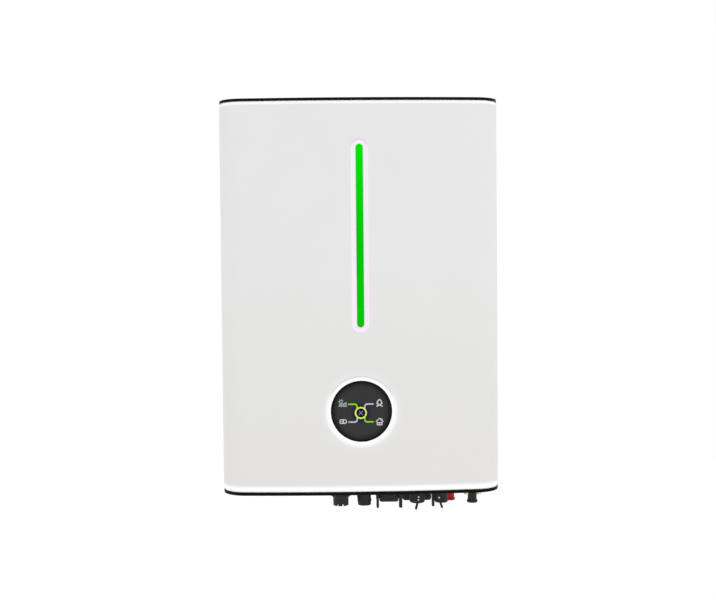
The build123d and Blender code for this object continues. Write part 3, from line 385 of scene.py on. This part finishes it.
MATERIALS = {
    "cover_white": cover_coat("white_coat"),
    "housing_grey": coated(
        "grey_coat", (0.36, 0.37, 0.38), grain=0.6, depth=0.05, roughness=0.55, share=0.05
    ),
    "edge_black": moulded(
        "edge_black", (0.004, 0.004, 0.0045), grain=0.4, depth=0.01, roughness=0.42, specular=0.05
    ),
    "heat_sink_aluminium": metal(
        "blasted_aluminium", (0.66, 0.67, 0.68), roughness=0.46, grain=(1, 1, 0.08), size=0.9, depth=0.012
    ),
    "plate_steel": zinc_plate("zinc_plate"),
    "screw_steel": metal("screw_steel", (0.62, 0.62, 0.61), roughness=0.3, size=0.8, depth=0.006),
    "screw_brass": metal("yellow_zinc", (0.78, 0.60, 0.26), roughness=0.3, size=0.8, depth=0.006, share=0.15),
    "light_green": lit_diffuser("lit_green_diffuser"),
    "led": lit_symbol("led_dome", (0.85, 0.83, 0.55), strength=0.3),
    "display_black": smoked_window("smoked_window"),
    "board_green": circuit_board("circuit_board"),
    "moulded_black": moulded(
        "moulded_black", (0.019, 0.0192, 0.0195), grain=0.45, depth=0.025, specular=0.25
    ),
    "moulded_white": moulded(
        "moulded_white", (0.72, 0.72, 0.70), depth=0.015, roughness=0.4, specular=0.4, share=0.03
    ),
    "cable_grey": moulded("cable_grey", (0.5, 0.5, 0.51), grain=0.9, share=0.05),
    "lead_insulation": moulded(
        "lead_insulation", (0.02, 0.02, 0.021), grain=1.2, roughness=0.42, specular=0.4
    ),
    "seal_rubber": rubber("seal_rubber", (0.022, 0.022, 0.023), roughness=0.7),
    "cap_black": rubber("cap_black", (0.022, 0.023, 0.024)),
    "cap_red": rubber("cap_red", (0.52, 0.006, 0.002), roughness=0.6),
    "capacitor_sleeve": shrink_sleeve("capacitor_sleeve"),
    "film_box": moulded(
        "film_box", (0.38, 0.40, 0.43), grain=0.8, depth=0.01, roughness=0.3, specular=0.4, share=0.05
    ),
    "core_potting": moulded(
        "core_potting", (0.05, 0.05, 0.052), grain=1.5, depth=0.05, roughness=0.45, specular=0.4, share=0.2
    ),
    "relay_box": moulded(
        "relay_box", (0.02, 0.02, 0.022), grain=0.6, depth=0.01, roughness=0.28, specular=0.5
    ),
}
SYMBOL_WHITE = lit_symbol("symbol_white", (0.56, 0.57, 0.56), strength=0.1)
SYMBOL_DIM = lit_symbol("symbol_dim", (0.36, 0.36, 0.37), strength=0.08)
SYMBOL_FAINT = lit_symbol("symbol_faint", (0.34, 0.26, 0.50), strength=0.06)
LINK_WHITE = lit_symbol("link_white", (0.54, 0.51, 0.60), strength=0.04)
LINK_GREEN = lit_symbol("link_green", (0.23, 0.62, 0.0), strength=0.12)
RING_GREEN = lit_symbol("ring_green", (0.62, 0.88, 0.0), strength=0.12)

for subpart in frame["record"]["subparts"]:
    cad_node = frame["nodes"][subpart["node"]]
    cad_node.data.materials.clear()
    cad_node.data.materials.append(MATERIALS[subpart["material_slot"]])

# ---------------------------------------------------------------- symbols on the display

WINDOW_LOW, WINDOW_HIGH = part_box("display_window")
DISPLAY_X = (WINDOW_LOW.x + WINDOW_HIGH.x) / 2
DISPLAY_Z = (WINDOW_LOW.z + WINDOW_HIGH.z) / 2
WINDOW_FRONT = WINDOW_LOW.y
RAISED = 0.25 * MM  # how far the symbols stand out of the window
STROKE_SIDES = 12
BEND_SHARE = 0.49  # the most that a bend takes of a straight at either end


def rounded(points, radius, closed, steps=5):
    """The same line with each corner replaced by an arc-like bend. A closed line ends where it starts."""
    if closed:
        points = points[:-1]
        corners = zip(points[-1:] + points[:-1], points, points[1:] + points[:1])
    else:
        corners = zip(points, points[1:], points[2:])
    line = []
    for before, corner, after in corners:
        reach_in = (before - corner).normalized() * min(radius, (before - corner).length * BEND_SHARE)
        reach_out = (after - corner).normalized() * min(radius, (after - corner).length * BEND_SHARE)
        start, end = corner + reach_in, corner + reach_out
        for i in range(steps + 1):
            t = i / steps
            line.append(start * (1 - t) ** 2 + corner * 2 * t * (1 - t) + end * t**2)
    return line if closed else [points[0], *line, points[-1]]


def stroke_mesh(line, width, closed):
    """A low rounded ridge along a line of (x, z) points in millimetres, half sunk in the window's face."""
    mesh = bmesh.new()
    count = len(line)
    rings = []
    for i, point in enumerate(line):
        before = line[(i - 1) % count] if closed or i else point
        after = line[(i + 1) % count] if closed or i < count - 1 else point
        along = (after - before).normalized()
        across = Vector((-along.y, along.x))
        ring = []
        for s in range(STROKE_SIDES):
            angle = 2 * pi * s / STROKE_SIDES
            flat = point + across * (width / 2 * cos(angle))
            y = WINDOW_FRONT - RAISED * sin(angle)
            ring.append(mesh.verts.new((DISPLAY_X + flat.x * MM, y, DISPLAY_Z + flat.y * MM)))
        rings.append(ring)
    pairs = list(zip(rings, rings[1:]))
    if closed:
        pairs.append((rings[-1], rings[0]))
    else:
        mesh.faces.new(rings[0])
        mesh.faces.new(reversed(rings[-1]))
    for one, other in pairs:
        for s in range(STROKE_SIDES):
            t = (s + 1) % STROKE_SIDES
            mesh.faces.new((one[s], other[s], other[t], one[t]))
    bmesh.ops.recalc_face_normals(mesh, faces=mesh.faces)
    return mesh


def to_object(mesh, name):
    data = bpy.data.meshes.new(name)
    mesh.to_mesh(data)
    mesh.free()
    made = bpy.data.objects.new(name, data)
    bpy.context.scene.collection.objects.link(made)
    return made


def joined(first, second):
    """Unites two overlapping solids into the first."""
    union = first.modifiers.new("union", "BOOLEAN")
    union.operation = "UNION"
    union.solver = "EXACT"
    union.object = second
    bpy.context.view_layer.objects.active = first
    first.select_set(True)
    bpy.ops.object.modifier_apply(modifier=union.name)
    bpy.data.objects.remove(second)
    return first


def symbol(name, strokes, material, width=1.3, bend=0.8):
    """One display symbol. Each stroke is a list of (x, z) points in millimetres from the window's middle, and
    is closed where its last point is its first."""
    made = None
    for points in strokes:
        line = [Vector(p) for p in points]
        closed = line[0] == line[-1]
        part = to_object(stroke_mesh(rounded(line, bend, closed), width, closed), name)
        made = joined(made, part) if made else part
    made.data.materials.clear()
    made.data.materials.append(material)
    for face in made.data.polygons:
        face.use_smooth = True
    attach(made, "inverter")
    return made


def circle(x, z, radius, steps=12):
    """A closed ring of points, first and last the same. Their corners are rounded later."""
    angles = [2 * pi * i / steps for i in range(steps)]
    points = [(x + radius * cos(angle), z + radius * sin(angle)) for angle in angles]
    return points + points[:1]


def ray(x, z, angle, start, end):
    """A straight stroke that points away from (x, z), between two distances from it."""
    way = (cos(radians(angle)), sin(radians(angle)))
    return [(x + way[0] * start, z + way[1] * start), (x + way[0] * end, z + way[1] * end)]


symbol("display_ring", [circle(RING_X, RING_Z, RING_R, steps=24)], RING_GREEN, width=2.0, bend=2.0)
LINKS = {
    "display_link_solar": (LINK_GREEN, [(-18.5, 10.1), (-6.2, 10.1), (-6.2, 3.4)]),
    "display_link_house": (LINK_GREEN, [(16.7, -14.75), (4.5, -14.75), (4.5, -7.8)]),
    "display_link_grid": (LINK_WHITE, [(16.9, 10.1), (4.6, 10.1), (4.6, 3.2)]),
    "display_link_battery": (LINK_WHITE, [(-18.1, -14.8), (-6.1, -14.8), (-6.1, -7.8)]),
}
for link_name, (link_material, route) in LINKS.items():
    symbol(link_name, [route], link_material, width=2.0, bend=4.0)

SUN = (-28.3, 13.7)
SUN_RAYS = (35, 80, 125, 170, 215)  # in degrees, round the side of the sun away from the panel
symbol(
    "display_symbol_solar",
    [
        [(-31.4, 7.1), (-20.4, 7.1), (-21.6, 10.8), (-29.9, 10.8), (-31.4, 7.1)],
        [(-28.2, 7.1), (-27.4, 10.8)],
        [(-24.6, 7.1), (-24.4, 10.8)],
        [(-30.6, 9.0), (-21.2, 9.0)],
        [(-23.6, 10.8), (-21.4, 12.9), (-20.6, 10.4)],
        circle(*SUN, radius=2.0),
        *[ray(*SUN, angle, start=2.2, end=3.7) for angle in SUN_RAYS],
    ],
    SYMBOL_DIM,
    width=1.0,
    bend=0.5,
)
PYLON_X = 24.95
symbol(
    "display_symbol_pylon",
    [
        [
            (PYLON_X - 3.7, 10.2),
            (PYLON_X - 2.5, 13.6),
            (PYLON_X - 0.9, 16.0),
            (PYLON_X + 0.9, 16.0),
            (PYLON_X + 2.5, 13.6),
            (PYLON_X + 3.7, 10.2),
        ],
        [(PYLON_X - 4.5, 6.5), (PYLON_X + 3.5, 10.6)],
        [(PYLON_X + 4.5, 6.5), (PYLON_X - 3.5, 10.6)],
    ],
    SYMBOL_WHITE,
    width=1.6,
    bend=1.0,
)
symbol(
    "display_symbol_battery",
    [
        [
            (-29.8, -11.4),
            (-22.6, -11.4),
            (-20.2, -14.0),
            (-22.6, -16.5),
            (-29.8, -16.5),
            (-29.8, -11.4),
        ],
        [(-25.2, -11.4), (-25.2, -16.5)],
        [(-28.0, -14.0), (-25.2, -14.0)],
    ],
    SYMBOL_WHITE,
    width=1.35,
    bend=1.2,
)
symbol(
    "display_symbol_house",
    [
        [(19.8, -14.8), (24.95, -9.8), (30.1, -14.8)],
        [(28.2, -10.3), (28.2, -12.6)],
        [(21.6, -14.6), (21.6, -19.1), (28.3, -19.1), (28.3, -14.6)],
        [(21.6, -16.1), (28.3, -16.1)],
        [(24.95, -16.1), (24.95, -19.1)],
    ],
    SYMBOL_WHITE,
)
symbol(
    "display_symbol_inverter",
    [
        [(RING_X - 2.9, RING_Z - 2.8), (RING_X + 3.0, RING_Z + 2.8)],
        [(RING_X - 2.4, RING_Z + 2.3), (RING_X - 0.9, RING_Z + 2.0)],
        [(RING_X - 1.9, RING_Z + 1.2), (RING_X - 0.9, RING_Z + 0.9)],
        [
            (RING_X + 0.7, RING_Z - 0.9),
            (RING_X + 1.3, RING_Z - 1.6),
            (RING_X + 2.0, RING_Z - 1.9),
            (RING_X + 2.6, RING_Z - 2.6),
        ],
    ],
    SYMBOL_FAINT,
    width=0.9,
    bend=0.5,
)

# ---------------------------------------------------------------- stage, light and camera

LOW, HIGH = (Vector(corner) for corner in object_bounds())
MIDDLE = (LOW + HIGH) / 2
COVER_LOW, COVER_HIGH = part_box("front_cover")
COVER_MIDDLE = (COVER_LOW + COVER_HIGH) / 2

# The stage is laid out in metres.
FLOOR_DROP = 1.2  # far enough below the object for views from underneath
FLOOR_SIZE = 14.0
FLOOR_GLOW = 0.12
SKY_STRENGTH = 1.0
KEY_PLACE = (1.6, -2.2, 1.5)  # from the middle of the cover
KEY_SIZE = 1.4
KEY_POWER = 5  # watts


def pale_floor():
    mesh = bmesh.new()
    bmesh.ops.create_grid(mesh, x_segments=4, y_segments=4, size=FLOOR_SIZE / 2)
    floor = to_object(mesh, "floor")
    floor.location = (MIDDLE.x, MIDDLE.y, LOW.z - FLOOR_DROP)
    finish = Finish("pale_floor", roughness=0.8, specular=0.1)
    finish.colour(finish.noise(400, 3), (0.90, 0.90, 0.90), (0.93, 0.93, 0.93))
    finish.glow((1, 1, 1), FLOOR_GLOW)
    floor.data.materials.append(finish.material)
    floor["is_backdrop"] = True


def soft_light(name, place, size, power):
    """A square soft box that looks at the middle of the cover."""
    data = bpy.data.lights.new(name, "AREA")
    data.shape = "SQUARE"
    data.size = size
    data.energy = power
    lamp = bpy.data.objects.new(name, data)
    bpy.context.scene.collection.objects.link(lamp)
    lamp.location = COVER_MIDDLE + Vector(place)
    lamp.rotation_euler = (-Vector(place)).to_track_quat("-Z", "Y").to_euler()


def sky(strength):
    world = bpy.data.worlds.new("studio")
    world.use_nodes = True
    background = world.node_tree.nodes["Background"]
    background.inputs["Color"].default_value = (1, 1, 1, 1)
    background.inputs["Strength"].default_value = strength
    bpy.context.scene.world = world


CAMERA_DISTANCE = 1.6  # from the cover's foremost line
CAMERA_LEFT = 0.044  # from the object's middle
CAMERA_UP = 0.056  # from the middle of the cover
HEADING, TILT, ROLL = 1.45, 2.143, 0.53  # in degrees
SENSOR, LENS = 36.0, 58.3743  # in millimetres


def add_camera():
    data = bpy.data.cameras.new("camera")
    data.sensor_width = SENSOR
    data.lens = LENS
    camera = bpy.data.objects.new("camera", data)
    bpy.context.scene.collection.objects.link(camera)
    turn = (
        Matrix.Rotation(radians(-HEADING), 4, "Z")
        @ Matrix.Rotation(radians(90 - TILT), 4, "X")
        @ Matrix.Rotation(radians(-ROLL), 4, "Z")
    )
    place = Vector((-CAMERA_LEFT, COVER_LOW.y - CAMERA_DISTANCE, COVER_MIDDLE.z + CAMERA_UP))
    camera.matrix_world = Matrix.Translation(place) @ turn
    bpy.context.scene.camera = camera


pale_floor()
sky(SKY_STRENGTH)
soft_light("key", KEY_PLACE, KEY_SIZE, KEY_POWER)
add_camera()
bpy.context.scene.view_settings.view_transform = "Standard"
